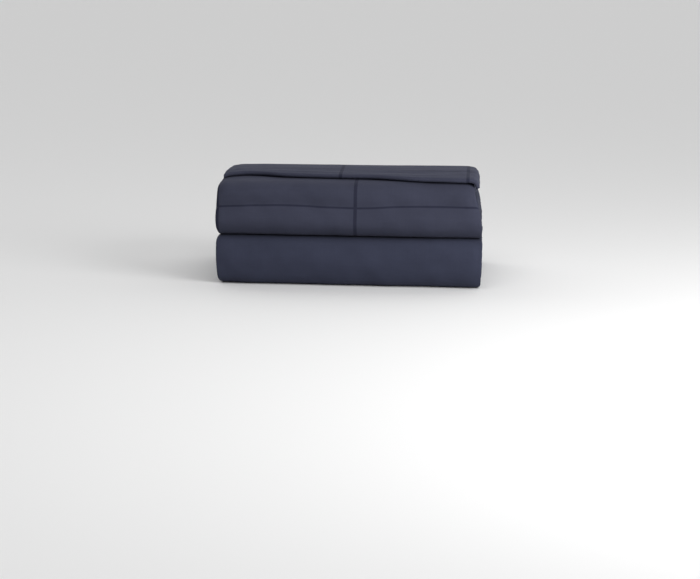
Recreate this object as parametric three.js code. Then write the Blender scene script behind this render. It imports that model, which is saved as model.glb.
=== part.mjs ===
// A duvet cover folded into a stack. Its windowpane face panel and its plain back panel lie together
// and run through every fold: a lower bundle, an upper bundle on it, and a thin fold over the top.
// Millimetres. X runs along the stack, -Y is its front and +Z is up from the surface it lies on.
import * as THREE from 'three';

// Cloth
const SHEET = 1.2; // thickness of a panel in the bundles
const THIN_SHEET = 1.0; // thickness of a panel in the thin fold on top
const SEAM_SHEET = 1.0; // thickness of a panel along its side seams
const PARTING = 1.4; // space between the two panels in the bundles
const THIN_PARTING = 0.45; // space between the two panels in the thin fold on top
const SEAM_PARTING = 0.5; // space between the two panels along the side seams

// Plies, each of both panels, counted from 1 at the bottom
const BUNDLE_PLIES = 12; // plies in each bundle
const LOWER_PITCH = 5.0; // rise from one ply to the next in the lower bundle
const UPPER_PITCH = 5.75; // the same in the upper bundle, which is looser
const BUNDLE_SEAT = 6.0; // rise from the lower bundle's top ply to the upper bundle's bottom ply
const FLAP_SEAT = 4.6; // rise from the upper bundle's top ply to the thin fold's under ply
const FLAP_PITCH = 3.2; // rise from the thin fold's under ply to its upper ply

const LOWER_TOP = BUNDLE_PLIES;
const UPPER_BOTTOM = BUNDLE_PLIES + 1;
const UPPER_TOP = 2 * BUNDLE_PLIES;
const FLAP_UNDER = UPPER_TOP + 1;
const FLAP_UPPER = UPPER_TOP + 2;

// Folds
const ROUND = 0.9; // depth of a fold's nose against half its height
const FULLNESS = 2.6; // power of a fold's outline: 2 is an ellipse, and more is flatter in front
const REAR_CENTRE = 89; // where the straight plies end at the back
const TOP_REAR_CENTRE = 97; // the same for the plies that turn into the thin fold
const OUTER_RADIUS = 28; // folds this large are the outside of a bundle
const OUTER_CHORD = 0.3; // how far an outer fold's facets may stray from its curve
const INNER_CHORD = 0.7; // the same for the folds inside
const BUNDLE_STEPS = [0.5]; // places along a ply of a bundle
const FLAP_STEPS = [0.06, 0.14, 0.3, 0.48, 0.66, 0.84]; // places along a ply of the thin fold, from its front

// Lie of the plies from front to back: the stack is highest a little behind its front, and the droop
// of its shoulders fades towards the back
const LIE = [
  { y: -92, height: 1.0, droop: 1.0 },
  { y: -45, height: 1.02, droop: 1.0 },
  { y: 5, height: 1.008, droop: 0.8 },
  { y: 55, height: 0.97, droop: 0.5 },
  { y: 95, height: 0.935, droop: 0.25 },
];

// How far the plies reach to the left and right at each height
const ENDS = [
  { z: 0, left: -157, right: 159 },
  { z: 8, left: -160.5, right: 161.5 },
  { z: 30, left: -162, right: 162.5 },
  { z: 52, left: -161.5, right: 162.5 },
  { z: 60, left: -159.5, right: 161.5 },
  { z: 72, left: -161.5, right: 161.5 },
  { z: 92, left: -162.5, right: 159.5 },
  { z: 104, left: -162, right: 157 },
  { z: 113, left: -161, right: 155 },
  { z: 120, left: -160.2, right: 153.8 },
  { z: 126, left: -159.4, right: 152.6 },
  { z: 130, left: -159, right: 147 },
  { z: 134, left: -159, right: 147 },
];

// Right end of the thin fold, which hangs over the end of the upper bundle
const HANG_FROM = 150; // where it starts to bend
const HANG_LENGTH = 11.5; // extra length of the hanging end
const HANG_RADIUS = 8; // radius of the bend, at the middle of the fold's thickness
const HANG_TURN = THREE.MathUtils.degToRad(58);
const HANG_FRONT = -85; // in front of this the end hangs in full
const HANG_BACK = 90; // behind this it lies flat

// Cross-sections along X: place as a share of the reach, the same for the hanging end, height of the
// plies, droop of the top at the shoulder, front centres of the two bundles' folds and of the thin fold
const SECTIONS = [
  { at: -1.0, hangAt: -1.0, height: 0.985, shoulder: 6.5, lower: -88.5, upper: -85.0, flap: -76 },
  { at: -0.955, hangAt: -0.955, height: 0.987, shoulder: 1.5, lower: -91.0, upper: -87.5, flap: -73 },
  { at: -0.8, hangAt: -0.8, height: 0.99, shoulder: 0.0, lower: -92.0, upper: -89.0, flap: -69 },
  { at: -0.5, hangAt: -0.5, height: 0.995, shoulder: 0.0, lower: -93.0, upper: -90.0, flap: -82 },
  { at: 0.15, hangAt: 0.15, height: 1.001, shoulder: 0.0, lower: -92.5, upper: -89.5, flap: -88 },
  { at: 0.5, hangAt: 0.49, height: 1.006, shoulder: 0.0, lower: -92.0, upper: -89.0, flap: -99 },
  { at: 0.92, hangAt: 0.917, height: 1.012, shoulder: 0.0, lower: -91.0, upper: -88.5, flap: -104 },
  { at: 0.955, hangAt: 0.945, height: 1.012, shoulder: 0.3, lower: -90.5, upper: -88.0, flap: -104 },
  { at: 0.975, hangAt: 0.972, height: 1.012, shoulder: 0.7, lower: -90.0, upper: -87.5, flap: -104 },
  { at: 1.0, hangAt: 1.0, height: 1.01, shoulder: 1.5, lower: -88.5, upper: -86.0, flap: -103 },
];

const { lerp, clamp, smoothstep } = THREE.MathUtils;

// Reads a column of a table at a place, straight between its rows.
function readTable(table, key, place, column) {
  const last = table.length - 1;
  const next = clamp(table.findIndex((row) => row[key] >= place), -1, last);
  if (next === 0) return table[0][column];
  if (next < 0) return table[last][column];
  const low = table[next - 1];
  const high = table[next];
  const share = (place - low[key]) / (high[key] - low[key]);
  return lerp(low[column], high[column], share);
}

// Height of a ply's middle before the lie of the stack is applied.
function plyHeight(ply) {
  const first = SHEET + PARTING / 2;
  if (ply <= LOWER_TOP) return first + (ply - 1) * LOWER_PITCH;
  const upper = first + (LOWER_TOP - 1) * LOWER_PITCH + BUNDLE_SEAT;
  if (ply <= UPPER_TOP) return upper + (ply - UPPER_BOTTOM) * UPPER_PITCH;
  const flap = upper + (BUNDLE_PLIES - 1) * UPPER_PITCH + FLAP_SEAT;
  return flap + (ply - FLAP_UNDER) * FLAP_PITCH;
}

// Plies of a bundle that is folded over and over, from its outside to its middle.
function foldedOver(outer, inner) {
  const order = [];
  const step = Math.sign(inner - outer);
  for (let a = outer, b = inner; (b - a) * step >= 0; a += step, b -= step) {
    order.push(a);
    if (a !== b) order.push(b);
  }
  return order;
}

// The cover's whole length, ply after ply, turning at the front and at the back by turns. It starts
// in the middle of the upper bundle, comes out into the thin fold on top, goes round the upper bundle,
// down the back, round the lower bundle and ends in the middle of it.
const COURSE = [
  ...foldedOver(UPPER_TOP - 1, UPPER_BOTTOM + 1).reverse(),
  FLAP_UPPER,
  FLAP_UNDER,
  UPPER_TOP,
  UPPER_BOTTOM,
  ...foldedOver(1, LOWER_TOP),
];

const isFlap = (ply) => ply >= FLAP_UNDER;

function turnCentre(section, atFront, from, to) {
  const highest = Math.max(from, to);
  if (!atFront) return highest >= UPPER_TOP - 1 ? TOP_REAR_CENTRE : REAR_CENTRE;
  if (isFlap(highest)) return section.flap;
  return highest > LOWER_TOP ? section.upper : section.lower;
}

// How far the thin fold drops where it follows the rounded front of the upper bundle.
function flapDrop(section, y) {
  const rise = (plyHeight(UPPER_TOP) - plyHeight(UPPER_BOTTOM)) / 2 + SHEET + PARTING / 2;
  const nose = rise * ROUND + FLAP_SEAT;
  const forward = clamp((section.upper - y) / nose, 0, 0.9);
  return rise * (1 - (1 - forward ** FULLNESS) ** (1 / FULLNESS));
}

// Middle line of both panels in one cross-section, from end to end of the cover.
function foldLine(section) {
  const line = [];
  const addPoint = (y, rank, thin, seatPly, dropAt = y) => {
    const lie = readTable(LIE, 'y', y, 'height') * section.height;
    const drop = seatPly ? flapDrop(section, dropAt) : 0;
    const lying = (height) => {
      const share = readTable(LIE, 'y', y, 'droop') * (height / plyHeight(FLAP_UPPER)) ** 3;
      const droop = section.shoulder * share;
      return plyHeight(1) + (height - plyHeight(1)) * lie - droop - drop;
    };
    const parting = lerp(PARTING, THIN_PARTING, thin);
    const sheet = lerp(SHEET, THIN_SHEET, thin);
    const under = lying(plyHeight(FLAP_UNDER)) - THIN_SHEET - THIN_PARTING / 2;
    const hang = seatPly ? 1 - smoothstep(y, HANG_FRONT, HANG_BACK) : 0;
    line.push({ y, z: lying(rank), rank, parting, sheet, hang, under });
  };
  let start = REAR_CENTRE;
  COURSE.forEach((ply, leg) => {
    const atFront = leg % 2 === 0;
    const next = COURSE[leg + 1];
    const onFlap = isFlap(ply);
    const height = plyHeight(ply);
    const end = next ? turnCentre(section, atFront, ply, next) : REAR_CENTRE;
    if (leg === 0) addPoint(start, height, 0, false);
    const steps = onFlap ? FLAP_STEPS : BUNDLE_STEPS;
    const forward = atFront ? steps.map((step) => 1 - step).reverse() : steps;
    forward.forEach((step) => addPoint(lerp(start, end, step), height, onFlap ? 1 : 0, onFlap));
    if (!next) {
      addPoint(end, height, 0, false);
      return;
    }
    // Half a round turn from this ply to the next. It drops as a whole.
    const rise = (plyHeight(next) - height) / 2;
    const radius = Math.abs(rise);
    const chord = radius > OUTER_RADIUS ? OUTER_CHORD : INNER_CHORD;
    const facet = 2 * Math.acos(1 - chord / radius);
    const facets = Math.max(3, Math.ceil(Math.PI / facet));
    for (let i = 0; i <= facets; i += 1) {
      const angle = (Math.PI * i) / facets;
      const full = (part) => Math.sign(part) * Math.abs(part) ** (2 / FULLNESS);
      const out = radius * ROUND * full(Math.sin(angle)) * (atFront ? -1 : 1);
      const up = rise * (1 - full(Math.cos(angle)));
      const thin = lerp(onFlap ? 1 : 0, isFlap(next) ? 1 : 0, i / facets);
      addPoint(end + out, height + up, thin, onFlap && isFlap(next), end);
    }
    start = end;
  });
  // The side towards the face panel, square to the line.
  line.forEach((point, i) => {
    const before = line[Math.max(i - 1, 0)];
    const after = line[Math.min(i + 1, line.length - 1)];
    const along = new THREE.Vector2(after.y - before.y, after.z - before.z).normalize();
    point.side = new THREE.Vector2(along.y, -along.x);
  });
  return line;
}

// Where a point of a cross-section lies, offset towards one panel.
function place(section, point, offset) {
  const y = point.y + point.side.x * offset;
  const z = point.z + point.side.y * offset;
  const at = lerp(section.at, section.hangAt, point.hang);
  if (at <= 0) return [-at * readTable(ENDS, 'z', point.rank, 'left'), y, z];
  const length = at * (readTable(ENDS, 'z', point.rank, 'right') + HANG_LENGTH * point.hang);
  const over = length - HANG_FROM;
  if (over <= 0 || point.hang < 0.01) return [length, y, z];
  // The hanging end: round the bend and then straight on.
  const bend = Math.min(over / HANG_RADIUS, HANG_TURN);
  const rest = over - bend * HANG_RADIUS;
  const angle = bend * point.hang;
  const radius = HANG_RADIUS / point.hang;
  const middle = (FLAP_PITCH + 2 * THIN_SHEET + THIN_PARTING) / 2;
  const out = radius + z - point.under - middle;
  const x = HANG_FROM + out * Math.sin(angle) + rest * Math.cos(angle);
  const hung = point.under + middle - radius + out * Math.cos(angle) - rest * Math.sin(angle);
  return [x, y, hung];
}

// One panel as a closed sheet on its side of the fold line: side 1 is the face, side -1 the back.
function panelGeometry(side) {
  const positions = [];
  const lines = SECTIONS.map(foldLine);
  SECTIONS.forEach((section, row) => {
    const line = lines[row];
    const atSeam = Math.abs(section.at) === 1;
    const surface = (depth) => {
      line.forEach((point) => {
        const parting = atSeam ? SEAM_PARTING : point.parting;
        const sheet = atSeam ? SEAM_SHEET : point.sheet;
        positions.push(...place(section, point, side * (parting / 2 + sheet * depth)));
      });
    };
    surface(0);
    surface(1);
  });
  const count = lines[0].length;
  const lastRow = SECTIONS.length - 1;
  const lastPoint = count - 1;
  const index = (row, depth, i) => (row * 2 + depth) * count + i;
  const triangles = [];
  // Two triangles split from a to c, facing out of this panel.
  const quad = (a, b, c, d) => {
    if (side < 0) triangles.push(a, b, c, a, c, d);
    else triangles.push(a, c, b, a, d, c);
  };
  for (let row = 0; row < lastRow; row += 1) {
    for (let i = 0; i < lastPoint; i += 1) {
      const corner = (depth) => [
        index(row, depth, i),
        index(row + 1, depth, i),
        index(row + 1, depth, i + 1),
        index(row, depth, i + 1),
      ];
      const [a, b, c, d] = corner(1);
      const [e, f, g, h] = corner(0);
      // Every ply is split the same way across, so that neighbours lie parallel.
      if (lines[row][i + 1].y < lines[row][i].y) {
        quad(a, b, c, d);
        quad(e, h, g, f);
      } else {
        quad(d, a, b, c);
        quad(h, g, f, e);
      }
    }
    quad(index(row, 0, 0), index(row + 1, 0, 0), index(row + 1, 1, 0), index(row, 1, 0));
    quad(
      index(row, 1, lastPoint),
      index(row + 1, 1, lastPoint),
      index(row + 1, 0, lastPoint),
      index(row, 0, lastPoint),
    );
  }
  for (let i = 0; i < lastPoint; i += 1) {
    quad(index(0, 0, i), index(0, 1, i), index(0, 1, i + 1), index(0, 0, i + 1));
    quad(
      index(lastRow, 0, i),
      index(lastRow, 0, i + 1),
      index(lastRow, 1, i + 1),
      index(lastRow, 1, i),
    );
  }
  const geometry = new THREE.BufferGeometry();
  geometry.setAttribute('position', new THREE.Float32BufferAttribute(positions, 3));
  geometry.setIndex(triangles);
  geometry.computeVertexNormals();
  return geometry;
}

function panel(name, side, colour) {
  const material = new THREE.MeshStandardMaterial({ color: colour, roughness: 0.9, metalness: 0 });
  const mesh = new THREE.Mesh(panelGeometry(side), material);
  mesh.name = name;
  return mesh;
}

const cover = new THREE.Group();
cover.add(panel('face_panel', 1, 0x40424f));
cover.add(panel('back_panel', -1, 0x3a3d4b));

// The origin is under the middle of the stack.
const middle = new THREE.Box3().setFromObject(cover).getCenter(new THREE.Vector3());
cover.children.forEach((mesh) => mesh.geometry.translate(-middle.x, -middle.y, 0));

export default cover;
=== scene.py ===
"""A duvet cover folded into a stack: a lower bundle, an upper bundle and a thin fold over the top.

Its windowpane face panel and its plain back panel lie together and run through every fold, so each
is one sheet along the same course. Sizes of the folds in the tables are millimetres, and those in
the properties, of the cloth's surface and of the stage are metres.
"""

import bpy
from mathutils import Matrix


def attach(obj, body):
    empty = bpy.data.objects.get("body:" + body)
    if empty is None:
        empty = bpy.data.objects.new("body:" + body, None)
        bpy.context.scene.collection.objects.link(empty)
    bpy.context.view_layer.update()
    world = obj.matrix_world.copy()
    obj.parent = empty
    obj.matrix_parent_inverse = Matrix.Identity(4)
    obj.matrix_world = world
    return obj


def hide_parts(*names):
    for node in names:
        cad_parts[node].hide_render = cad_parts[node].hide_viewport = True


bl_info = {
    "name": "Folded Duvet Cover",
    "version": (1, 0, 0),
    "blender": (4, 5, 0),
    "location": "3D View > Sidebar > Duvet Cover",
    "description": "Builds a duvet cover folded into a stack, with its cloth and a plain stage",
    "category": "Object",
}

import math
from collections import namedtuple

import bpy
import numpy as np
from bpy.props import FloatProperty, FloatVectorProperty, IntProperty, PointerProperty
from mathutils import Quaternion, Vector

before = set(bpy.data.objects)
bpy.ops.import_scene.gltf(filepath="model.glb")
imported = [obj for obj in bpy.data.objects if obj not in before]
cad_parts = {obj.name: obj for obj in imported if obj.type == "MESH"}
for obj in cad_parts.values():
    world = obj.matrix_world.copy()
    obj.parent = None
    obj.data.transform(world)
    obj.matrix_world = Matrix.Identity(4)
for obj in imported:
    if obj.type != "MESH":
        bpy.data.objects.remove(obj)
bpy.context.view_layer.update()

MM = 0.001

# Plies, each of both panels, counted from 1 at the bottom
BUNDLE_PLIES = 12
LOWER_TOP = BUNDLE_PLIES
UPPER_BOTTOM = BUNDLE_PLIES + 1
UPPER_TOP = 2 * BUNDLE_PLIES
FLAP_UNDER = UPPER_TOP + 1
FLAP_UPPER = UPPER_TOP + 2

FACE, BACK = 1, -1  # side of the fold line that a panel lies on

# Lie of the plies from front to back: shares of their height and of the ends' droop, and how far
# the left end of the thin fold lies in
Lie = namedtuple("Lie", "y height droop inset")
LIE = [
    Lie(-92, 1.0, 1.0, 0.0),
    Lie(-45, 1.02, 0.85, 1.0),
    Lie(5, 1.008, 0.5, 2.4),
    Lie(55, 0.97, 0.25, 3.2),
    Lie(95, 0.935, 0.15, 3.5),
]

# How far the plies reach to the left and right at each height
End = namedtuple("End", "z left right")
ENDS = [
    End(0, -157, 160.3),
    End(8, -160.5, 162.3),
    End(30, -162, 162.5),
    End(53, -161.5, 162.5),
    End(61, -159.5, 161.5),
    End(73, -161.5, 161.5),
    End(92, -162.5, 159.5),
    End(104, -162, 156),
    End(113, -161.2, 153.5),
    End(120, -160.8, 152.3),
    End(126, -160.0, 151.6),
    End(130, -157.9, 147),
    End(134, -157.9, 147),
]

# Cross-sections along X: place as a share of the reach, the same for the hanging end, height of the
# plies, droop of the top at the shoulder, and front centres of the two bundles' folds and of the
# thin fold
Section = namedtuple("Section", "at hang_at height shoulder lower upper flap")
SECTIONS = [
    Section(-1.0, -1.0, 0.985, 3.2, -89.9, -85.6, -76),
    Section(-0.955, -0.955, 0.987, 1.2, -91.0, -87.5, -73),
    Section(-0.8, -0.8, 0.99, 0.0, -92.0, -89.0, -69),
    Section(-0.5, -0.5, 0.995, 0.0, -93.0, -90.0, -82),
    Section(0.15, 0.15, 1.001, 0.0, -92.5, -89.5, -88),
    Section(0.5, 0.49, 1.006, 0.0, -92.0, -89.0, -100),
    Section(0.92, 0.917, 1.012, 0.0, -91.0, -88.5, -105.5),
    Section(0.955, 0.945, 1.012, 0.3, -90.5, -88.0, -105.5),
    Section(0.975, 0.972, 1.012, 0.7, -90.0, -87.5, -105.5),
    Section(1.0, 1.0, 1.01, 1.5, -89.5, -86.6, -104.5),
]
MIDDLE_Y = -1.0  # y in the tables that lies over the origin
DROOP_POWER = 3  # the higher, the nearer to the top the droop stays
NOSE_LIMIT = 0.9  # share of the upper bundle's nose that the thin fold may follow down
SLOPE_STEP = 0.5  # half the distance over which the thin fold's slope is measured

# Right end of the thin fold, which hangs over the end of the upper bundle
HANG_FROM = 148.3  # where it starts to bend
HANG_LENGTH = 13.1  # extra length of the hanging end
HANG_RADIUS = 7  # radius of the bend, at the middle of the fold's thickness
HANG_TURN = math.radians(68)
HANG_FRONT = -85  # in front of this the end hangs in full
HANG_BACK = 90  # behind this it lies flat
LEAST_HANG = 0.01  # share of hanging below which the end isn't bent

# Rows of points across the panels, by their distance from each end
END_STEPS = [0.0, 0.3, 0.7, 1.3, 2.4, 4.0, 6.0, 8.5, 11.5, 15.0, 18.5]
HALF_LENGTH = 160  # taken for the stack in these distances
SEAM_REACH = 9  # the panels come together this near to their side seams
RIM_RADIUS = 1.3  # of a panel's rounded edge
RIM_LEAST = 0.06  # share of that radius at which the edge ends

# Turns with more steps than the rest: those that show, and their neighbours
Finer = namedtuple("Finer", "ply next_ply steps")
FINER = [
    Finer(UPPER_TOP, UPPER_BOTTOM, 54),
    Finer(FLAP_UPPER, FLAP_UNDER, 12),
    Finer(UPPER_TOP - 1, FLAP_UPPER, 12),
    Finer(1, LOWER_TOP, 50),
    Finer(UPPER_BOTTOM, 1, 28),
    Finer(UPPER_TOP - 2, UPPER_BOTTOM + 1, 20),
    Finer(UPPER_BOTTOM + 1, UPPER_TOP - 1, 22),
]
TURN_CHORD = 0.18  # how far the other turns may stray from their curve
TURN_SPARE = 1.1  # how many times the steps are taken that this needs
TURN_LEAST = 4  # steps of the tightest turns
OUTLINE_POINTS = 721  # points with which a turn is measured
ROUND_RADIUS = 1.5  # turns up to this radius are round
FULL_RADIUS = 2.4  # turns from this radius have the whole fullness

# Steps along a ply, as shares from its front
PLY_STEPS = [i / 6 for i in range(1, 6)]
NOSE_STEPS = [0.01, 0.025, 0.04, 0.06, 0.08, 0.11, 0.15, 0.22, 0.32, 0.45, 0.6, 0.75, 0.88]
FLAP_STEPS = [i / 75 for i in range(1, 25)] + [i / 16 for i in range(6, 16)]
THIN_FROM = 0.5  # where the upper bundle's top ply starts to thin out to the back

# Long swells of the two front bulges: height above the floor or the pane line, half width, and rise
# at the left and right ends, a tuck where it is below 0
Swell = namedtuple("Swell", "above at width left right")
SWELLS = [
    Swell("line", 22, 12, 7.0, -0.2),
    Swell("line", 0, 6, -1.8, -1.8),
    Swell("line", -16, 10, 3.8, 5.0),
    Swell("floor", 71, 9, 3.0, 5.0),
    Swell("floor", 60.9, 5, 4.5, 6.2),
    Swell("floor", 54.2, 7, 2.6, 4.0),
    Swell("floor", 34, 13, 1.4, 2.6),
]
SWELL_TURN = (-60, 110)  # x between which a swell goes from its left to its right rise
BULGE_DEPTH = 14  # depth inside a bundle at which about a third of the relief is left
BULGE_BACK = 0.25  # share of a ply over which the relief fades out behind the front

# Soft creases on the two front bulges: ends of each, half width and rise, a trough where it is
# below 0
Crease = namedtuple("Crease", "x0 z0 x1 z1 width rise")
BULGE_CREASES = [
    Crease(-150, 112, -92, 116, 9, 0.7),
    Crease(-128, 104, -70, 101, 7, -0.5),
    Crease(-40, 112, 0, 109, 8, 0.5),
    Crease(22, 117, 90, 113, 8, 0.7),
    Crease(60, 106, 135, 108, 7, -0.5),
    Crease(142, 104, 154, 96, 4, 0.7),
    Crease(146, 112, 151, 100, 2.5, -0.6),
    Crease(137, 113, 143, 101, 3, -0.4),
    Crease(-120, 84, -40, 80, 8, 0.4),
    Crease(30, 84, 120, 81, 9, 0.5),
    Crease(-150, 76, -90, 73, 6, -0.4),
    Crease(-155, 44, -150, 14, 5, -0.6),
    Crease(-75, 38, -10, 41, 10, 0.8),
    Crease(-110, 26, 10, 22, 9, -0.5),
    Crease(70, 28, 154, 33, 8, -0.8),
    Crease(95, 44, 156, 48, 9, 0.7),
    Crease(20, 16, 110, 14, 7, 0.4),
    Crease(148, 52, 157, 36, 4, 0.5),
]

# The same on the top of the thin fold, from above
FlapCrease = namedtuple("FlapCrease", "x0 y0 x1 y1 width rise")
FLAP_CREASES = [
    FlapCrease(-120, -66, 20, -80, 5, 0.7),
    FlapCrease(-95, -58, 35, -68, 6, -0.6),
    FlapCrease(10, -84, 130, -90, 5, 0.6),
    FlapCrease(25, -72, 120, -76, 6, -0.6),
    FlapCrease(-139, -45, -150, -74, 3, 0.7),
    FlapCrease(-133, -45, -143, -72, 3, -0.5),
    FlapCrease(133, -50, 141, -98, 3.5, 0.8),
    FlapCrease(143, -55, 150, -98, 3, -0.7),
    FlapCrease(-60, -20, 80, -28, 12, 0.8),
    FlapCrease(-30, 30, 110, 22, 14, -0.5),
]
FLAP_RELIEF = (-125, -60)  # y between which the relief of the thin fold sets in
CREASE_BOW = 0.06  # curve of a crease against its length
CREASE_START = (-0.12, 0.3)  # shares of its length between which a crease comes in
CREASE_STOP = (0.6, 1.12)  # shares between which it goes out

# Waves in the cloth: how much they slant to the side, height, length, and start in turns
Ripple = namedtuple("Ripple", "slant height length start")
LONG_WAVES = [Ripple(0, 0.7, 148, 0.15), Ripple(0, 0.45, 83, 0.6)]
LONG_WAVE_TURN = 19  # rise over which the long waves of a bulge turn by a radian
SLANT_WAVES = [Ripple(0.8, 0.3, 57, 0.3), Ripple(0.8, 0.2, 34, 0.75)]
LEVEL_WAVES = [Ripple(0.05, 0.22, 23, 0.1)]
FLAP_LONG_WAVES = [Ripple(0.3, 0.2, 96, 0.2), Ripple(0.3, 0.12, 47, 0.5)]
FLAP_CROSS_WAVES = [Ripple(-0.12, 0.2, 31, 0.35)]

# Uneven ends of the plies, and small puckers near them
END_WAVES = [Ripple(0, 0.8, 311, 0.2), Ripple(0, 0.6, 173, 0.7), Ripple(0, 0.35, 61, 0.45)]
END_SHORT = 1.0  # how much shorter the plies are on the whole than the table says
END_POWER = 10  # the higher, the nearer to the ends this stays
FLAP_EVEN = 0.7  # share of it that the thin fold lacks
PUCKER_WAVES = [Ripple(0, 0.09, 13.0, 0.1), Ripple(0, 0.07, 7.7, 0.4)]
PUCKER_FADE = (1.0, 16.0)  # distances from the ends between which they fade out
PUCKER_RISE = (6, 20)  # heights between which they set in

# Rise of the pane line along the upper bulge above its middle height
Wave = namedtuple("Wave", "x rise")
PANE_WAVE = [
    Wave(-157, 3.5),
    Wave(-85, 5.3),
    Wave(-18, 3.4),
    Wave(10, 2.7),
    Wave(72, 5.1),
    Wave(160, 5.2),
]
FLAP_LINE = 34  # from the front of the thin fold to the level line on it
UPRIGHT_AT = 8  # x of an upright line on the bulge
UPRIGHT_SKEW = 20.5  # how far to the left it lies on the thin fold
SKEW_START = -0.4  # panes from the bulge's level line to where the skew starts
SKEW_STOP = -0.8  # share of the way to the thin fold's level line at which it is full
CLOSER = 0.08  # how much closer the upright lines lie on the right of the thin fold
CLOSER_OVER = (0, 120)  # distances from the middle line between which they come closer

# Surface of the cloth
LINE_EDGE = 0.0004  # half the soft edge of a pane line
SLUBS = 22.0  # slubs along a metre of a thread
SLUB_RANGE = (0.6, 1.4)  # values of the slubs that are spread over the next two
SLUB_SHADE = (0.93, 1.07)
SLUB_ROUGHNESS = (0.8, 0.95)
CLOUD_RANGE = (0.3, 0.7)  # values of the cloudy tone that are spread over the next one
CLOUD_SHADE = (0.95, 1.05)

# Stage
FLOOR_SIZE = 90
FLOOR_MIDDLE = (0, 30, 0)
SKY_TURN = (-0.1, 0.4)  # how far to the back the sky goes from its front to its back strength
FILL_ELEVATION = math.radians(55)
FILL_SPREAD = math.radians(60)
FILL_DISTANCE = 3.0
SENSOR_MM = 36
VIEW_END = 200


class DuvetFoldSettings(bpy.types.PropertyGroup):
    """Sizes of the folded cloth."""

    sheet: FloatProperty(
        name="Sheet",
        description="Thickness of a panel in the bundles",
        default=0.00186,
        unit="LENGTH",
    )
    thin_sheet: FloatProperty(
        name="Thin Sheet",
        description="Thickness of a panel in the thin fold",
        default=0.0010,
        unit="LENGTH",
    )
    parting: FloatProperty(
        name="Parting",
        description="Space between the two panels",
        default=0.0003,
        unit="LENGTH",
    )
    seam_parting: FloatProperty(
        name="Seam Parting",
        description="Space between the two panels along their side seams",
        default=0.00012,
        unit="LENGTH",
    )
    lower_pitch: FloatProperty(
        name="Lower Pitch",
        description="Rise from one ply to the next in the lower bundle",
        default=0.00512,
        unit="LENGTH",
    )
    upper_pitch: FloatProperty(
        name="Upper Pitch",
        description="Rise from one ply to the next in the upper bundle",
        default=0.00573,
        unit="LENGTH",
    )
    bundle_seat: FloatProperty(
        name="Bundle Seat",
        description="Rise from the lower bundle's top ply to the upper bundle's bottom ply",
        default=0.0046,
        unit="LENGTH",
    )
    flap_seat: FloatProperty(
        name="Thin Fold Seat",
        description="Rise from the upper bundle's top ply to the thin fold's under ply",
        default=0.0046,
        unit="LENGTH",
    )
    flap_pitch: FloatProperty(
        name="Thin Fold Pitch",
        description="Rise from the thin fold's under ply to its upper ply",
        default=0.0029,
        unit="LENGTH",
    )
    roundness: FloatProperty(
        name="Roundness",
        description="Depth of a fold's nose against half its height",
        default=0.9,
    )
    fullness: FloatProperty(
        name="Fullness",
        description="Power of a fold's outline, 2 for an ellipse",
        default=2.6,
    )
    rear: FloatProperty(
        name="Rear",
        description="Where the straight plies end at the back",
        default=0.089,
        unit="LENGTH",
    )
    top_rear: FloatProperty(
        name="Top Rear",
        description="Where the plies that turn into the thin fold end at the back",
        default=0.097,
        unit="LENGTH",
    )
    rows: IntProperty(
        name="Rows",
        description="Rows of points along the middle of the stack",
        default=60,
        min=8,
    )


class DuvetClothSettings(bpy.types.PropertyGroup):
    """Colours and scale of the two cloths."""

    face_colour: FloatVectorProperty(
        name="Face",
        description="Ground of the face panel",
        default=(0.0426, 0.0454, 0.0707),
        subtype="COLOR",
    )
    line_colour: FloatVectorProperty(
        name="Pane Lines",
        description="Lines of the windowpane",
        default=(0.0225, 0.0242, 0.0421),
        subtype="COLOR",
    )
    back_colour: FloatVectorProperty(
        name="Back",
        description="Ground of the back panel",
        default=(0.0366, 0.0406, 0.0669),
        subtype="COLOR",
    )
    pane: FloatProperty(
        name="Pane",
        description="Distance between the pane lines",
        default=0.1685,
        unit="LENGTH",
    )
    upright_line: FloatProperty(
        name="Upright Line",
        description="Width of the upright pane lines",
        default=0.0042,
        unit="LENGTH",
    )
    level_line: FloatProperty(
        name="Level Line",
        description="Width of the level pane lines",
        default=0.0031,
        unit="LENGTH",
    )
    thread: FloatProperty(
        name="Thread",
        description="Distance between two threads of the weave",
        default=0.00052,
        unit="LENGTH",
    )


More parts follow.
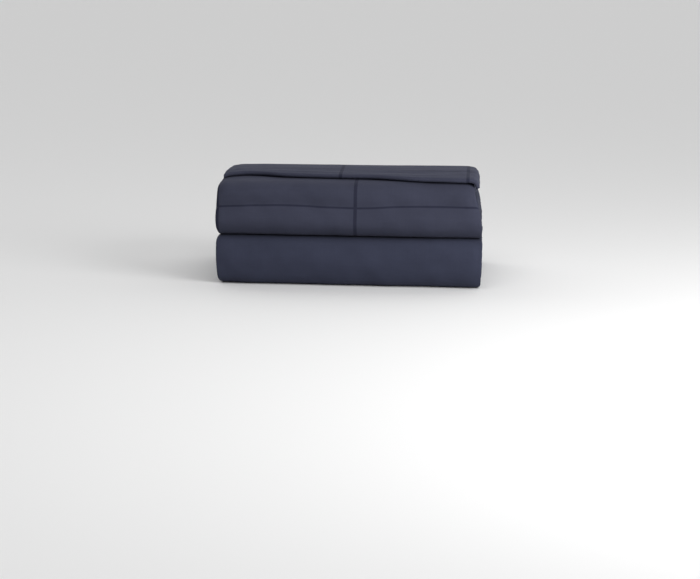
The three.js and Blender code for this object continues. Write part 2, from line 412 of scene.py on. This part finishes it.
class DuvetStageSettings(bpy.types.PropertyGroup):
    """Floor, light and camera."""

    floor_colour: FloatVectorProperty(
        name="Floor",
        description="Plain floor",
        default=(0.85, 0.85, 0.85),
        subtype="COLOR",
    )
    sky_front: FloatProperty(
        name="Front Sky",
        description="Strength of the light from the front",
        default=0.02,
    )
    sky_back: FloatProperty(
        name="Back Sky",
        description="Strength of the light from the back",
        default=0.9,
    )
    key: FloatProperty(
        name="Key",
        description="Power of the soft key light in watts",
        default=16.0,
    )
    key_distance: FloatProperty(
        name="Key Distance",
        description="From the key light to the stack",
        default=1.5,
        unit="LENGTH",
    )
    key_size: FloatProperty(
        name="Key Size",
        description="Side of the key light",
        default=0.9,
        unit="LENGTH",
    )
    key_azimuth: FloatProperty(
        name="Key Azimuth",
        description="Direction of the key light, from the front to the right",
        default=math.radians(50),
        subtype="ANGLE",
    )
    key_elevation: FloatProperty(
        name="Key Elevation",
        description="Height of the key light above the horizon",
        default=math.radians(22),
        subtype="ANGLE",
    )
    fill: FloatProperty(
        name="Fill",
        description="Strength of the soft light from above the front",
        default=1.25,
    )
    camera_azimuth: FloatProperty(
        name="Camera Azimuth",
        description="Direction of the camera, from the front to the right",
        default=math.radians(3.3),
        subtype="ANGLE",
    )
    camera_elevation: FloatProperty(
        name="Camera Elevation",
        description="Height of the camera above the horizon",
        default=math.radians(9.5),
        subtype="ANGLE",
    )
    camera_distance: FloatProperty(
        name="Camera Distance",
        description="From the camera to its aim",
        default=2.765,
        unit="LENGTH",
    )
    camera_roll: FloatProperty(
        name="Camera Roll",
        description="Turn of the camera about its view",
        default=math.radians(0.8),
        subtype="ANGLE",
    )
    camera_aim: FloatVectorProperty(
        name="Camera Aim",
        description="Point in the middle of the picture",
        default=(0.002, -0.1, -0.0056),
        subtype="XYZ",
        unit="LENGTH",
    )
    lens: FloatProperty(
        name="Lens",
        description="Focal length in millimetres",
        default=115.9,
    )


# Tables and curves


def read_table(rows, key, column, at):
    """Smooth curve through a column of a table, which never passes its own values."""
    place = np.array([getattr(row, key) for row in rows], float)
    value = np.array([getattr(row, column) for row in rows], float)
    gap = np.diff(place)
    slope = np.diff(value) / gap
    tangent = np.concatenate([slope[:1], np.zeros(len(gap) - 1), slope[-1:]])
    before, after = slope[:-1], slope[1:]
    same = before * after > 0
    tangent[1:-1][same] = 2 * before[same] * after[same] / (before[same] + after[same])
    at = np.clip(at, place[0], place[-1])
    i = np.clip(np.searchsorted(place, at, side="right") - 1, 0, len(gap) - 1)
    t = (at - place[i]) / gap[i]
    return (
        value[i] * (1 + 2 * t) * (1 - t) ** 2
        + tangent[i] * gap[i] * t * (1 - t) ** 2
        + value[i + 1] * t**2 * (3 - 2 * t)
        + tangent[i + 1] * gap[i] * t**2 * (t - 1)
    )


def ease(value, low, high):
    """0 below low, 1 above high and a soft step between them."""
    t = np.clip((value - low) / (high - low), 0, 1)
    return t * t * (3 - 2 * t)


def ripple(waves, along, aside=0):
    """Sum of waves along one way, which may slant to the side."""
    total = 0
    for wave in waves:
        turns = (along + wave.slant * aside) / wave.length + wave.start
        total = total + wave.height * np.sin(2 * math.pi * turns)
    return total


def crease_field(creases, x, across, column):
    """Height of soft troughs and ridges, each along the line between its two ends."""
    total = np.zeros(np.broadcast(x, across).shape)
    for crease in creases:
        start = np.array([crease.x0, getattr(crease, column + "0")], float)
        run = np.array([crease.x1, getattr(crease, column + "1")], float) - start
        length = np.hypot(*run)
        run /= length
        along = ((x - start[0]) * run[0] + (across - start[1]) * run[1]) / length
        aside = (across - start[1]) * run[0] - (x - start[0]) * run[1]
        bow = CREASE_BOW * length * (along - 0.5) ** 2
        fade = ease(along, *CREASE_START) * (1 - ease(along, *CREASE_STOP))
        total += crease.rise * fade * np.exp(-(((aside - bow) / crease.width) ** 2))
    return total


# Folds


def folded_over(outer, inner):
    """Plies of a bundle that is folded over and over, from its outside to its middle."""
    step = 1 if inner > outer else -1
    order = []
    while (inner - outer) * step >= 0:
        order.append(outer)
        if inner != outer:
            order.append(inner)
        outer, inner = outer + step, inner - step
    return order


# The cover's whole length, ply after ply, turning at the front and at the back by turns
COURSE = [
    *reversed(folded_over(UPPER_TOP - 1, UPPER_BOTTOM + 1)),
    FLAP_UPPER,
    FLAP_UNDER,
    UPPER_TOP,
    UPPER_BOTTOM,
    *folded_over(1, LOWER_TOP),
]


def is_flap(ply):
    """Whether a ply belongs to the thin fold."""
    return ply >= FLAP_UNDER


def ply_height(folds, ply):
    """Height of a ply's middle before the lie of the stack is applied."""
    first = (folds.sheet + folds.parting / 2) / MM
    if ply <= LOWER_TOP:
        return first + (ply - 1) * folds.lower_pitch / MM
    upper = first + ((LOWER_TOP - 1) * folds.lower_pitch + folds.bundle_seat) / MM
    if ply <= UPPER_TOP:
        return upper + (ply - UPPER_BOTTOM) * folds.upper_pitch / MM
    flap = upper + ((BUNDLE_PLIES - 1) * folds.upper_pitch + folds.flap_seat) / MM
    return flap + (ply - FLAP_UNDER) * folds.flap_pitch / MM


def turn_steps(radius, ply, next_ply):
    """Number of steps round the half turn between two plies."""
    for row in FINER:
        if (row.ply, row.next_ply) == (ply, next_ply):
            return row.steps
    step = 2 * math.acos(1 - min(1, TURN_CHORD / radius))
    return max(TURN_LEAST, math.ceil(TURN_SPARE * math.pi / step))


def turn_outline(folds, radius, count):
    """Even stops round half a turn: how far out, and share of the rise, at each."""
    angle = np.linspace(0, math.pi, OUTLINE_POINTS)
    wide = ease(radius, ROUND_RADIUS, FULL_RADIUS)
    power = 2 / (2 + (folds.fullness - 2) * wide)
    out = radius * (1 + (folds.roundness - 1) * wide) * np.sin(angle).clip(0) ** power
    up = np.sign(np.cos(angle)) * np.abs(np.cos(angle)) ** power
    length = np.concatenate([[0], np.cumsum(np.hypot(np.diff(out), radius * np.diff(up)))])
    stops = np.linspace(0, length[-1], count + 1)
    return np.interp(stops, length, out), (1 - np.interp(stops, length, up)) / 2


def turn_centre(folds, cuts, at_front, ply, next_ply):
    """Where the turn between two plies has its centre from front to back, in every row."""
    highest = max(ply, next_ply)
    if not at_front:
        rear = folds.top_rear if highest >= UPPER_TOP - 1 else folds.rear
        return np.full_like(cuts["at"], rear / MM)
    if is_flap(highest):
        return cuts["flap"]
    return cuts["upper"] if highest > LOWER_TOP else cuts["lower"]


def ply_steps(ply):
    """Stops along a ply as shares from its front."""
    if is_flap(ply):
        return FLAP_STEPS
    return NOSE_STEPS if ply in (LOWER_TOP, UPPER_TOP) else PLY_STEPS


def thin_at(ply, from_front):
    """Share by which the cloth of a ply is thin at a share of its length."""
    if is_flap(ply):
        return 1.0
    return float(ease(from_front, THIN_FROM, 1.0)) if ply == UPPER_TOP else 0.0


def course_stops(folds, cuts):
    """Stops along the whole course. Each has its place from front to back in every row, its height,
    and shares: how thin the cloth is, whether it lies in the thin fold, and how near a bulge is."""
    stops = {name: [] for name in ("y", "rank", "thin", "seat", "near", "mark")}

    def add(y, rank, thin, seat, near, mark=""):
        for name, value in zip(stops, (y, rank, thin, seat, near, mark)):
            stops[name].append(value)

    rear = np.full_like(cuts["at"], folds.rear / MM)
    start = rear
    for leg, ply in enumerate(COURSE):
        at_front = leg % 2 == 0
        next_ply = COURSE[leg + 1] if leg + 1 < len(COURSE) else None
        height = ply_height(folds, ply)
        on_flap = float(is_flap(ply))
        end = turn_centre(folds, cuts, at_front, ply, next_ply) if next_ply else rear
        mate = next_ply if at_front else COURSE[leg - 1]
        outer = (1, LOWER_TOP) if ply <= LOWER_TOP else (UPPER_BOTTOM, UPPER_TOP)
        full = ply_height(folds, outer[1]) - ply_height(folds, outer[0])
        depth = (full - abs(ply_height(folds, mate) - height)) / 2
        near = 0.0 if is_flap(ply) else math.exp(-depth / BULGE_DEPTH)
        if leg == 0:
            add(start, height, 0.0, 0.0, 0.0)
        steps = ply_steps(ply)
        if at_front:
            steps = [1 - step for step in reversed(steps)]
        for step in steps:
            from_front = 1 - step if at_front else step
            fade = 1 - ease(from_front, 0.0, BULGE_BACK)
            thin = thin_at(ply, from_front)
            add(start + (end - start) * step, height, thin, on_flap, near * fade)
        if next_ply is None:
            add(end, height, 0.0, 0.0, 0.0)
            break
        # Half a turn from this ply to the next.
        rise = ply_height(folds, next_ply) - height
        radius = abs(rise) / 2
        out, up = turn_outline(folds, radius, turn_steps(radius, ply, next_ply))
        thin, next_thin = (thin_at(p, 0.0 if at_front else 1.0) for p in (ply, next_ply))
        for i, (o, u) in enumerate(zip(out, up)):
            turned = i / (len(out) - 1)
            add(
                end + (-o if at_front else o),
                height + rise * u,
                thin + (next_thin - thin) * turned,
                on_flap * is_flap(next_ply),
                near if at_front and not is_flap(max(ply, next_ply)) else 0.0,
                f"{ply}_{next_ply}",
            )
        start = end
    return stops


def row_places(folds):
    """Places of the rows along the stack as shares of its reach, close together at its ends."""
    end = 1 - np.array(END_STEPS) / HALF_LENGTH
    middle = np.linspace(-end[-1], end[-1], folds.rows)
    return np.concatenate([-end[:-1], middle, end[:-1][::-1]])


def flap_drop(folds, cuts, y):
    """How far the thin fold drops where it follows the rounded front of the upper bundle."""
    rise = (ply_height(folds, UPPER_TOP) - ply_height(folds, UPPER_BOTTOM)) / 2
    rise += (folds.sheet + folds.parting / 2) / MM
    nose = rise * folds.roundness + folds.flap_seat / MM
    forward = np.clip((cuts["upper"] - y) / nose, 0, NOSE_LIMIT)
    return rise * (1 - (1 - forward**folds.fullness) ** (1 / folds.fullness))


def pane_line_height(folds, x):
    """Height of the pane line that runs along the upper bulge."""
    middle = (ply_height(folds, UPPER_BOTTOM) + ply_height(folds, UPPER_TOP)) / 2
    return middle + read_table(PANE_WAVE, "x", "rise", x)


def bulge_relief(folds, x, z):
    """How far the front bulges stand out at a place, with the tuck along the pane line."""
    heights = {"floor": z, "line": z - pane_line_height(folds, x)}
    to_right = ease(x, *SWELL_TURN)
    relief = crease_field(BULGE_CREASES, x, z, "z")
    for swell in SWELLS:
        rise = swell.left + (swell.right - swell.left) * to_right
        relief += rise * np.exp(-(((heights[swell.above] - swell.at) / swell.width) ** 2))
    relief += ripple(LONG_WAVES, x) * np.cos(z / LONG_WAVE_TURN)
    relief += ripple(SLANT_WAVES, x, z)
    return relief + ripple(LEVEL_WAVES, z, x)


def flap_relief(x, y):
    """How far the top of the thin fold rises at a place."""
    wave = ripple(FLAP_LONG_WAVES, x, y) + ripple(FLAP_CROSS_WAVES, y, x)
    return wave + crease_field(FLAP_CREASES, x, y, "y")


def fold_line(folds, cuts, stops):
    """Middle of both panels at every stop (first axis) and row (second axis)."""
    at = cuts["at"][None, :]
    y = np.array(stops["y"])
    rank, thin, seat, near = (
        np.array(stops[name], float)[:, None] for name in ("rank", "thin", "seat", "near")
    )
    first, top = ply_height(folds, 1), ply_height(folds, UPPER_TOP)
    # The thin fold's front turn lies at the slope of its plies.
    front = cuts["flap"][None, :]
    lip = (seat > 0) & (y <= front)
    held = np.where(lip, front, y)
    lie = read_table(LIE, "y", "height", held) * cuts["height"]
    droop = read_table(LIE, "y", "droop", held) * cuts["shoulder"]
    drop = seat * flap_drop(folds, cuts, held)
    before, behind = (flap_drop(folds, cuts, held + step) for step in (-SLOPE_STEP, SLOPE_STEP))
    slope = seat * (before - behind) / (2 * SLOPE_STEP)
    steep, tilt = np.hypot(1, slope) - 1, np.arctan(slope)

    def lying(height):
        fall = droop * (np.minimum(height, top) / top) ** DROOP_POWER
        above = np.maximum(height - top, 0) * steep
        return first + (height - first) * lie + above - fall - drop

    middle = (ply_height(folds, FLAP_UNDER) + ply_height(folds, FLAP_UPPER)) / 2
    out, up = y - front, rank - middle
    y = np.where(lip, front + out * np.cos(tilt) - up * np.sin(tilt), y)
    z = np.where(lip, lying(middle) + out * np.sin(tilt) + up * np.cos(tilt), lying(rank))
    under = lying(ply_height(folds, FLAP_UNDER)) - (folds.thin_sheet + folds.parting / 2) / MM
    hang = seat * (1 - ease(y, HANG_FRONT, HANG_BACK))
    share = at + (cuts["hang_at"] - at) * hang
    inset = seat * read_table(LIE, "y", "inset", y)
    left = -share * (read_table(ENDS, "z", "left", rank) + inset)
    right = share * (read_table(ENDS, "z", "right", rank) + HANG_LENGTH * hang)
    length = np.where(share <= 0, left, right)
    # Course length along the middle row, which the ends' unevenness and the cloth's pattern follow.
    mid = y.shape[1] // 2
    steps = np.hypot(np.diff(y[:, mid]), np.diff(z[:, mid]))
    run = np.concatenate([[0], np.cumsum(steps)])[:, None]
    edge = np.abs(share) ** END_POWER
    uneven = ripple(END_WAVES, run) - END_SHORT
    length = length + np.sign(share) * edge * uneven * (1 - FLAP_EVEN * seat)
    # Relief: the bulges along Y, and the thin fold along Z.
    y = y - near * bulge_relief(folds, length, rank)
    z = z + seat * flap_relief(length, y) * ease(y, *FLAP_RELIEF)
    from_end = (1 - np.abs(share)) * HALF_LENGTH
    pucker = (1 - ease(from_end, *PUCKER_FADE)) * ripple(PUCKER_WAVES, run)
    z = z + pucker * ease(rank, *PUCKER_RISE) * (1 - seat)
    return {
        "y": y,
        "z": z,
        "thin": thin,
        "hang": hang,
        "under": under,
        "length": length,
        "run": run,
    }


def towards_face(y, z):
    """Direction square to the fold line, towards the face panel."""
    tiny = 1e-9
    dy, dz = np.diff(y, axis=0), np.diff(z, axis=0)
    size = np.hypot(dy, dz) + tiny
    dy, dz = dy / size, dz / size
    along_y = np.concatenate([dy[:1], dy[:-1] + dy[1:], dy[-1:]])
    along_z = np.concatenate([dz[:1], dz[:-1] + dz[1:], dz[-1:]])
    size = np.hypot(along_y, along_z) + tiny
    return along_z / size, -along_y / size


def hang_over(folds, line, y, z):
    """Places of points, with the right end of the thin fold bent down over the upper bundle."""
    over = np.maximum(line["length"] - HANG_FROM, 0) * (line["hang"] > LEAST_HANG)
    hang = np.maximum(line["hang"], LEAST_HANG)
    bend = np.minimum(over / HANG_RADIUS, HANG_TURN)
    rest = over - bend * HANG_RADIUS
    angle = bend * hang
    radius = HANG_RADIUS / hang
    middle = (folds.flap_pitch + 2 * folds.thin_sheet + folds.parting) / MM / 2
    out = radius + z - line["under"] - middle
    bent = over > 0
    x = np.where(bent, HANG_FROM + out * np.sin(angle) + rest * np.cos(angle), line["length"])
    hung = line["under"] + middle - radius + out * np.cos(angle) - rest * np.sin(angle)
    return np.stack([x, y - MIDDLE_Y, np.where(bent, hung, z)], axis=-1)


def panel_surfaces(folds, panel):
    """Inner and outer surface of a panel, the fold line and its stops."""
    at = row_places(folds)
    cuts = {name: read_table(SECTIONS, "at", name, at) for name in Section._fields}
    stops = course_stops(folds, cuts)
    line = fold_line(folds, cuts, stops)
    side_y, side_z = towards_face(line["y"], line["z"])
    from_end = (1 - np.abs(at))[None, :] * HALF_LENGTH
    at_seam = 1 - ease(from_end, 0, SEAM_REACH)
    parting = folds.parting / MM + at_seam * (folds.seam_parting - folds.parting) / MM
    sheet = (folds.sheet + (folds.thin_sheet - folds.sheet) * line["thin"]) / MM
    rim = np.sqrt(1 - (1 - np.clip(from_end / RIM_RADIUS, RIM_LEAST, 1)) ** 2)
    surfaces = []
    for depth in (0, 1):
        offset = panel * (parting / 2 + sheet * (0.5 + (depth - 0.5) * rim))
        y, z = line["y"] + side_y * offset, line["z"] + side_z * offset
        surfaces.append(hang_over(folds, line, y, z))
    return surfaces, line, stops


def panel_faces(stop_count, row_count, panel):
    """Quads of a closed sheet, whose points run by surface, stop and row."""
    point = np.arange(2 * stop_count * row_count).reshape(2, stop_count, row_count)

    def quads(grid):
        corners = [grid[:-1, :-1], grid[:-1, 1:], grid[1:, 1:], grid[1:, :-1]]
        return np.stack(corners, axis=-1).reshape(-1, 4)

    def turned_over(faces):
        return faces[:, [0, 3, 2, 1]]

    inner, outer = point
    faces = [quads(outer), turned_over(quads(inner))]
    for edge, turned in (
        ((outer[0], inner[0]), True),
        ((outer[-1], inner[-1]), False),
        ((outer[:, 0], inner[:, 0]), False),
        ((outer[:, -1], inner[:, -1]), True),
    ):
        strip = quads(np.stack(edge))
        faces.append(turned_over(strip) if turned else strip)
    faces = np.concatenate(faces)
    return faces if panel == BACK else turned_over(faces)


def cloth_map(cloth, panel, line, stops):
    """Flat place on the cloth of every stop and row, in metres. On the face panel it has pane lines
    at whole panes: one along the upper bulge, and one behind the front of the thin fold."""
    across = line["length"]
    along = line["run"] * np.ones_like(across)
    if panel == BACK:
        return across * MM, along * MM
    marks = stops["mark"]
    bulge = [i for i, mark in enumerate(marks) if mark == f"{UPPER_TOP}_{UPPER_BOTTOM}"]
    bulge_middle = line["run"][bulge[len(bulge) // 2], 0]
    flap_front = line["run"][marks.index(f"{FLAP_UPPER}_{FLAP_UNDER}"), 0]
    flap_line = flap_front - FLAP_LINE
    panes = round((bulge_middle - flap_line) * MM / cloth.pane)
    scale = panes * cloth.pane / (bulge_middle - flap_line)
    along = (along - bulge_middle) * scale + read_table(PANE_WAVE, "x", "rise", across) * MM
    # The cloth lies a little askew, so its upright lines shift from fold to fold.
    on_flap = 1 - ease(along, SKEW_STOP * panes * cloth.pane, SKEW_START * cloth.pane)
    across = across - UPRIGHT_AT + UPRIGHT_SKEW * on_flap
    across = across * (1 + CLOSER * on_flap * ease(across, *CLOSER_OVER))
    return across * MM, along


def make_panel(folds, cloth, panel, name, material):
    """Builds one panel as a closed sheet and returns it with its flat size."""
    surfaces, line, stops = panel_surfaces(folds, panel)
    stop_count, row_count = line["y"].shape
    points = np.concatenate([surface.reshape(-1, 3) for surface in surfaces]) * MM
    points[:, 2] = np.maximum(points[:, 2], 0)
    faces = panel_faces(stop_count, row_count, panel)
    mesh = bpy.data.meshes.new(name)
    mesh.vertices.add(len(points))
    mesh.vertices.foreach_set("co", points.astype(np.float32).ravel())
    mesh.loops.add(faces.size)
    mesh.loops.foreach_set("vertex_index", faces.astype(np.int32).ravel())
    mesh.polygons.add(len(faces))
    mesh.polygons.foreach_set("loop_start", np.arange(0, faces.size, 4, dtype=np.int32))
    mesh.polygons.foreach_set("use_smooth", np.ones(len(faces), bool))
    mesh.update(calc_edges=True)
    across, along = cloth_map(cloth, panel, line, stops)
    flat = np.stack([across.ravel(), along.ravel()], axis=-1)
    flat = np.concatenate([flat, flat])
    layer = mesh.uv_layers.new(name="cloth")
    layer.data.foreach_set("uv", flat[faces.ravel()].astype(np.float32).ravel())
    if mesh.validate():
        raise RuntimeError(f"{name} has faces that can't be")
    mesh.materials.append(material)
    piece = bpy.data.objects.new(name, mesh)
    bpy.context.scene.collection.objects.link(piece)
    width = float(np.mean(line["length"][:, -1] - line["length"][:, 0])) * MM
    return piece, (width, float(line["run"][-1, 0]) * MM)


# Cloth


class Nodes:
    """Short way to add nodes to a material or a world and join them."""

    def __init__(self, owner):
        owner.use_nodes = True
        self.tree = owner.node_tree
        self.tree.nodes.clear()

    def add(self, kind, inputs=(), **settings):
        node = self.tree.nodes.new(kind)
        for name, value in settings.items():
            setattr(node, name, value)
        for socket, value in dict(inputs).items():
            if isinstance(value, bpy.types.NodeSocket):
                self.tree.links.new(value, node.inputs[socket])
            else:
                node.inputs[socket].default_value = value
        return node

    def math(self, operation, *values):
        node = self.add("ShaderNodeMath", dict(enumerate(values)), operation=operation)
        return node.outputs[0]

    def remap(self, value, low, high, to_low, to_high, soft=False):
        limits = {"From Min": low, "From Max": high, "To Min": to_low, "To Max": to_high}
        node = self.add(
            "ShaderNodeMapRange",
            {"Value": value, **limits},
            interpolation_type="SMOOTHSTEP" if soft else "LINEAR",
        )
        return node.outputs["Result"]

    def mix(self, share, first, second, blend="MIX"):
        # A mix node's sockets 6 and 7 are its two colours, and its output 2 is their mix.
        inputs = {0: share, 6: first, 7: second}
        node = self.add("ShaderNodeMix", inputs, data_type="RGBA", blend_type=blend)
        return node.outputs[2]

    def noise(self, vector, scale, detail=2.0, rough=0.5):
        node = self.add(
            "ShaderNodeTexNoise",
            {"Vector": vector, "Scale": scale, "Detail": detail, "Roughness": rough},
        )
        return node.outputs["Fac"]

    def stretch(self, vector, scale):
        node = self.add("ShaderNodeMapping", {"Vector": vector, "Scale": scale})
        return node.outputs["Vector"]


def rgba(colour):
    """A colour that covers in full."""
    return (*colour, 1.0)


def cotton_material(name, cloth, ground, lines):
    """Plain-woven cotton with slubby threads, and woven pane lines where a line colour is given."""
    material = bpy.data.materials.new(name)
    n = Nodes(material)
    flat = n.add("ShaderNodeUVMap", uv_map="cloth").outputs["UV"]
    parts = n.add("ShaderNodeSeparateXYZ", {"Vector": flat})
    across, along = parts.outputs["X"], parts.outputs["Y"]
    colour = rgba(ground)

    def pane_line(place, width):
        away = n.math("PINGPONG", place, cloth.pane / 2)
        return n.remap(away, width / 2 - LINE_EDGE, width / 2 + LINE_EDGE, 1.0, 0.0, soft=True)

    if lines is not None:
        upright = pane_line(across, cloth.upright_line)
        level = pane_line(along, cloth.level_line)
        colour = n.mix(n.math("MAXIMUM", upright, level), colour, rgba(lines))
    # Threads: slubs run with the warp and with the weft.
    warp = n.stretch(flat, (1 / cloth.thread, SLUBS, 1.0))
    weft = n.stretch(flat, (SLUBS, 1 / cloth.thread, 1.0))
    slub = n.math("ADD", n.noise(warp, scale=1.0), n.noise(weft, scale=1.0))
    cloud = n.noise(flat, scale=38.0, detail=3.0, rough=0.55)
    slub_shade = n.remap(slub, *SLUB_RANGE, *SLUB_SHADE)
    cloud_shade = n.remap(cloud, *CLOUD_RANGE, *CLOUD_SHADE)
    shade = n.math("MULTIPLY", slub_shade, cloud_shade)
    tint = n.add("ShaderNodeCombineXYZ", {"X": shade, "Y": shade, "Z": shade}).outputs["Vector"]
    colour = n.mix(1.0, colour, tint, blend="MULTIPLY")
    # Weave and crumple, which only bend the light.
    turn = 2 * math.pi / (2 * cloth.thread)
    warp_wave, weft_wave = (
        n.math("SINE", n.math("MULTIPLY", place, turn)) for place in (across, along)
    )
    weave = n.math("MULTIPLY", warp_wave, weft_wave)
    weave_bump = n.add(
        "ShaderNodeBump",
        {"Strength": 0.12, "Distance": 0.00012, "Height": n.math("ADD", weave, slub)},
    )
    crumple_bump = n.add(
        "ShaderNodeBump",
        {
            "Strength": 0.5,
            "Distance": 0.0011,
            "Height": n.noise(flat, scale=62.0, detail=4.0, rough=0.55),
            "Normal": weave_bump.outputs["Normal"],
        },
    )
    shader = n.add(
        "ShaderNodeBsdfPrincipled",
        {
            "Base Color": colour,
            "Roughness": n.remap(slub, *SLUB_RANGE, *SLUB_ROUGHNESS),
            "Specular IOR Level": 0.1,
            "Sheen Weight": 0.04,
            "Sheen Roughness": 0.45,
            "Sheen Tint": (0.62, 0.66, 0.85, 1.0),
            "Normal": crumple_bump.outputs["Normal"],
        },
    )
    n.add("ShaderNodeOutputMaterial", {"Surface": shader.outputs["BSDF"]})
    return material


# Operators


def direction(azimuth, elevation):
    """Direction from the stack, with the azimuth from its front to the right."""
    level = math.cos(elevation)
    return Vector((math.sin(azimuth) * level, -math.cos(azimuth) * level, math.sin(elevation)))


class DUVET_OT_stage(bpy.types.Operator):
    """Adds the floor, the light and the camera"""

    bl_idname = "duvet.stage"
    bl_label = "Stage"
    bl_options = {"REGISTER", "UNDO"}

    def lamp(self, kind, name, towards, distance):
        turn = (-towards).to_track_quat("-Z", "Y").to_euler()
        bpy.ops.object.light_add(type=kind, location=towards * distance, rotation=turn)
        lamp = bpy.context.active_object
        lamp.name = name
        return lamp.data

    def execute(self, context):
        stage = context.scene.duvet_stage
        bpy.ops.object.select_all(action="DESELECT")
        bpy.ops.mesh.primitive_plane_add(size=FLOOR_SIZE, location=FLOOR_MIDDLE)
        floor = context.active_object
        floor.name = "floor"
        bpy.ops.object.transform_apply(location=True)
        paint = bpy.data.materials.new("pale_floor")
        n = Nodes(paint)
        looks = {"Base Color": rgba(stage.floor_colour), "Roughness": 0.9}
        shader = n.add("ShaderNodeBsdfPrincipled", looks)
        n.add("ShaderNodeOutputMaterial", {"Surface": shader.outputs["BSDF"]})
        floor.data.materials.append(paint)

        world = bpy.data.worlds.new("soft_sky")
        n = Nodes(world)
        way = n.add("ShaderNodeTexCoord").outputs["Generated"]
        to_back = n.add("ShaderNodeSeparateXYZ", {"Vector": way}).outputs["Y"]
        strength = n.remap(to_back, *SKY_TURN, stage.sky_front, stage.sky_back, soft=True)
        background = n.add("ShaderNodeBackground", {"Color": (1, 1, 1, 1), "Strength": strength})
        n.add("ShaderNodeOutputWorld", {"Surface": background.outputs["Background"]})
        context.scene.world = world

        towards = direction(stage.key_azimuth, stage.key_elevation)
        key = self.lamp("AREA", "key_light", towards, stage.key_distance)
        key.size = stage.key_size
        key.energy = stage.key
        fill = self.lamp("SUN", "fill_light", direction(0.0, FILL_ELEVATION), FILL_DISTANCE)
        fill.angle = FILL_SPREAD
        fill.energy = stage.fill

        back = direction(stage.camera_azimuth, stage.camera_elevation)
        place = Vector(stage.camera_aim) + back * stage.camera_distance
        bpy.ops.object.camera_add(location=place)
        camera = context.active_object
        turn = Quaternion(back, stage.camera_roll) @ (-back).to_track_quat("-Z", "Y")
        camera.rotation_euler = turn.to_euler()
        camera.name = "camera"
        camera.data.sensor_width = SENSOR_MM
        camera.data.lens = stage.lens
        camera.data.clip_end = VIEW_END
        context.scene.camera = camera
        context.scene.view_settings.view_transform = "Standard"
        return {"FINISHED"}


class DUVET_OT_back_panel(bpy.types.Operator):
    """Adds the plain back panel, folded along with the face"""

    bl_idname = "duvet.back_panel"
    bl_label = "Back Panel"
    bl_options = {"REGISTER", "UNDO"}

    def execute(self, context):
        scene = context.scene
        cloth = scene.duvet_cloth
        material = cotton_material("plain_cotton", cloth, cloth.back_colour, None)
        piece, flat = make_panel(scene.duvet_folds, cloth, BACK, "back_panel_cloth", material)
        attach(piece, "root")
        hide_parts("back_panel")
        return {"FINISHED"}


class DUVET_OT_face_panel(bpy.types.Operator):
    """Adds the windowpane face panel, folded along with the back"""

    bl_idname = "duvet.face_panel"
    bl_label = "Face Panel"
    bl_options = {"REGISTER", "UNDO"}

    def execute(self, context):
        scene = context.scene
        cloth = scene.duvet_cloth
        material = cotton_material("windowpane_cotton", cloth, cloth.face_colour, cloth.line_colour)
        piece, flat = make_panel(scene.duvet_folds, cloth, FACE, "face_panel_cloth", material)
        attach(piece, "root")
        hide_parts("face_panel")
        return {"FINISHED"}


class DUVET_PT_sidebar(bpy.types.Panel):
    """Lists the settings and the pieces"""

    bl_idname = "DUVET_PT_sidebar"
    bl_label = "Duvet Cover"
    bl_space_type = "VIEW_3D"
    bl_region_type = "UI"
    bl_category = "Duvet Cover"

    def draw(self, context):
        scene = context.scene
        for title, settings in (
            ("Folds", scene.duvet_folds),
            ("Cloth", scene.duvet_cloth),
            ("Stage", scene.duvet_stage),
        ):
            box = self.layout.box()
            box.label(text=title)
            for name in settings.__annotations__:
                box.prop(settings, name)
        for operator in (DUVET_OT_stage, DUVET_OT_back_panel, DUVET_OT_face_panel):
            self.layout.operator(operator.bl_idname)


CLASSES = (
    DuvetFoldSettings,
    DuvetClothSettings,
    DuvetStageSettings,
    DUVET_OT_stage,
    DUVET_OT_back_panel,
    DUVET_OT_face_panel,
    DUVET_PT_sidebar,
)


def register():
    for cls in CLASSES:
        bpy.utils.register_class(cls)
    bpy.types.Scene.duvet_folds = PointerProperty(type=DuvetFoldSettings)
    bpy.types.Scene.duvet_cloth = PointerProperty(type=DuvetClothSettings)
    bpy.types.Scene.duvet_stage = PointerProperty(type=DuvetStageSettings)


def unregister():
    del bpy.types.Scene.duvet_stage
    del bpy.types.Scene.duvet_cloth
    del bpy.types.Scene.duvet_folds
    for cls in reversed(CLASSES):
        bpy.utils.unregister_class(cls)


def main():
    register()
    bpy.ops.duvet.stage()
    bpy.ops.duvet.back_panel()
    bpy.ops.duvet.face_panel()


if __name__ == "__main__":
    main()
